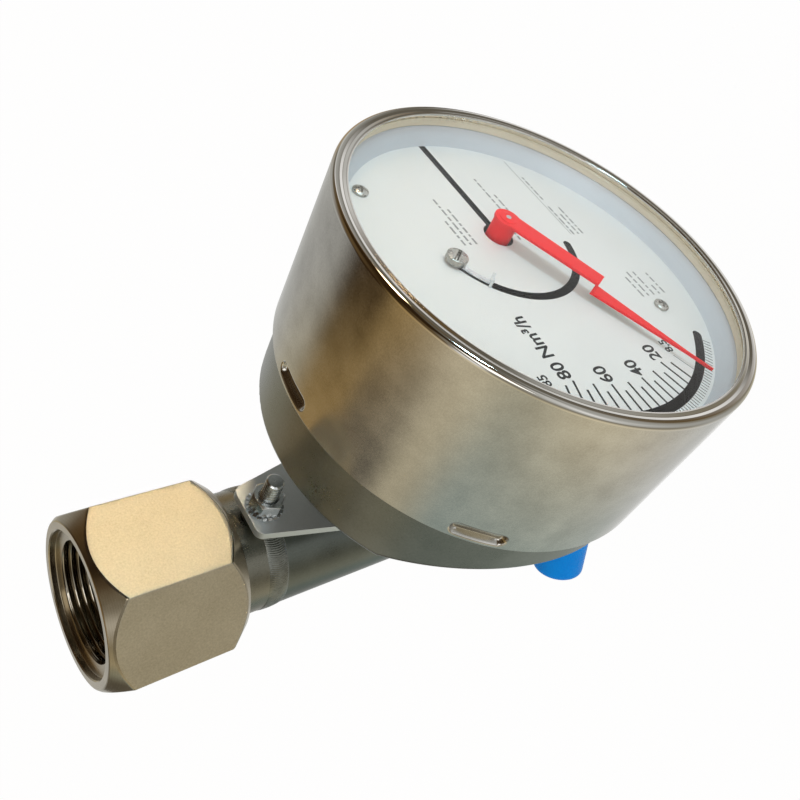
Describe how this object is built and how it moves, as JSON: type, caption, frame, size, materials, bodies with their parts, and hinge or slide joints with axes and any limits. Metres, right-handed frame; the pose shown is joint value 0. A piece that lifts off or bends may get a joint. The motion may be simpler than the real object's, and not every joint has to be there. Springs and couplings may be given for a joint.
{
  "type": "variable-area flow meter",
  "caption": "Metal-tube flow meter: an upright pipe with hexagon threaded ends and a round glazed dial housing with a red pointer that a float moves.",
  "frame": {"origin": "centre of the inlet mouth, on the pipe axis", "axes": "+Z along the pipe in the direction of flow, -Y towards the reader of the dial, +X to the dial's right"},
  "size_m": [0.1357, 0.1582, 0.245],
  "materials": {
    "cast_stainless": "bead-blasted grain",
    "pipe_stainless": "satin with heat-tinted weld beads",
    "blasted_stainless": "dull blasted",
    "satin_stainless": "satin, polished bezel",
    "bright_stainless": "bright machined",
    "movement_aluminium": "plain",
    "movement_brass": "plain",
    "magnet_dark": "plain",
    "window_glass": "clear",
    "gasket_cream": "matte",
    "seal_black": "matte",
    "dial_silver": "satin light grey",
    "pointer_red": "satin red",
    "cap_blue": "smooth"
  },
  "bodies": {
    "meter_body": {"inlet_coupling": "cast_stainless", "outlet_coupling": "cast_stainless", "measuring_tube": "pipe_stainless", "lower_boss": "pipe_stainless", "upper_boss": "pipe_stainless", "bracket_plate": "blasted_stainless", "rear_pan": "blasted_stainless", "lower_stud": "bright_stainless", "upper_stud": "bright_stainless", "lower_washer": "bright_stainless", "upper_washer": "bright_stainless", "lower_nut": "bright_stainless", "upper_nut": "bright_stainless", "upper_dial_screw": "bright_stainless", "lower_dial_screw": "bright_stainless", "stop_screw": "bright_stainless", "stop_nut": "bright_stainless", "stop_strip": "bright_stainless", "lower_snap_ring": "bright_stainless", "upper_snap_ring": "bright_stainless", "lower_float_guide": "bright_stainless", "upper_float_guide": "bright_stainless", "housing_pillar_1": "bright_stainless", "housing_pillar_2": "bright_stainless", "housing_pillar_3": "bright_stainless", "housing_pillar_4": "bright_stainless", "housing_screw_1": "bright_stainless", "housing_screw_2": "bright_stainless", "housing_screw_3": "bright_stainless", "housing_screw_4": "bright_stainless", "movement_screw_1": "bright_stainless", "movement_screw_2": "bright_stainless", "movement_screw_3": "bright_stainless", "movement_plate": "movement_aluminium", "bearing_bridge": "movement_aluminium", "upper_dial_pillar": "movement_aluminium", "lower_dial_pillar": "movement_aluminium", "movement_post_1": "movement_aluminium", "movement_post_2": "movement_aluminium", "movement_post_3": "movement_aluminium", "rear_bush": "movement_brass", "front_bush": "movement_brass", "entry_nipple": "movement_brass", "entry_locknut": "movement_brass", "brake_magnet": "magnet_dark", "cover_seal": "seal_black", "dial_plate": "dial_silver", "dial_ring": "dial_silver", "entry_cap": "cap_blue"},
    "float": {"float_body": "bright_stainless", "float_magnet": "magnet_dark"},
    "pointer": {"pointer": "pointer_red", "pointer_shaft": "bright_stainless", "follower_magnet": "magnet_dark", "brake_disc": "movement_aluminium", "balance_weight": "movement_brass"},
    "cover": {"front_cover": "satin_stainless", "window_gasket": "gasket_cream", "window_glass": "window_glass", "window_clamp": "bright_stainless"}
  },
  "joints": [
    {"name": "float_slide", "type": "slide", "parent": "meter_body", "child": "float", "axis": [0, 0, 1], "range_m": [0, 0.032]},
    {"name": "pointer_spin", "type": "hinge", "parent": "meter_body", "child": "pointer", "pos_m": [0.0166, -0.1188, 0.1254], "axis": [0, 1, 0], "range_deg": [0, 46.6]},
    {"name": "cover_turn", "type": "hinge", "parent": "meter_body", "child": "cover", "pos_m": [0, -0.1, 0.1225], "axis": [0, -1, 0], "range_deg": [0, 20]}
  ],
  "couplings": [
    {"joint": "pointer_spin", "follows": "float_slide", "rad_per_m": 25.36}
  ]
}
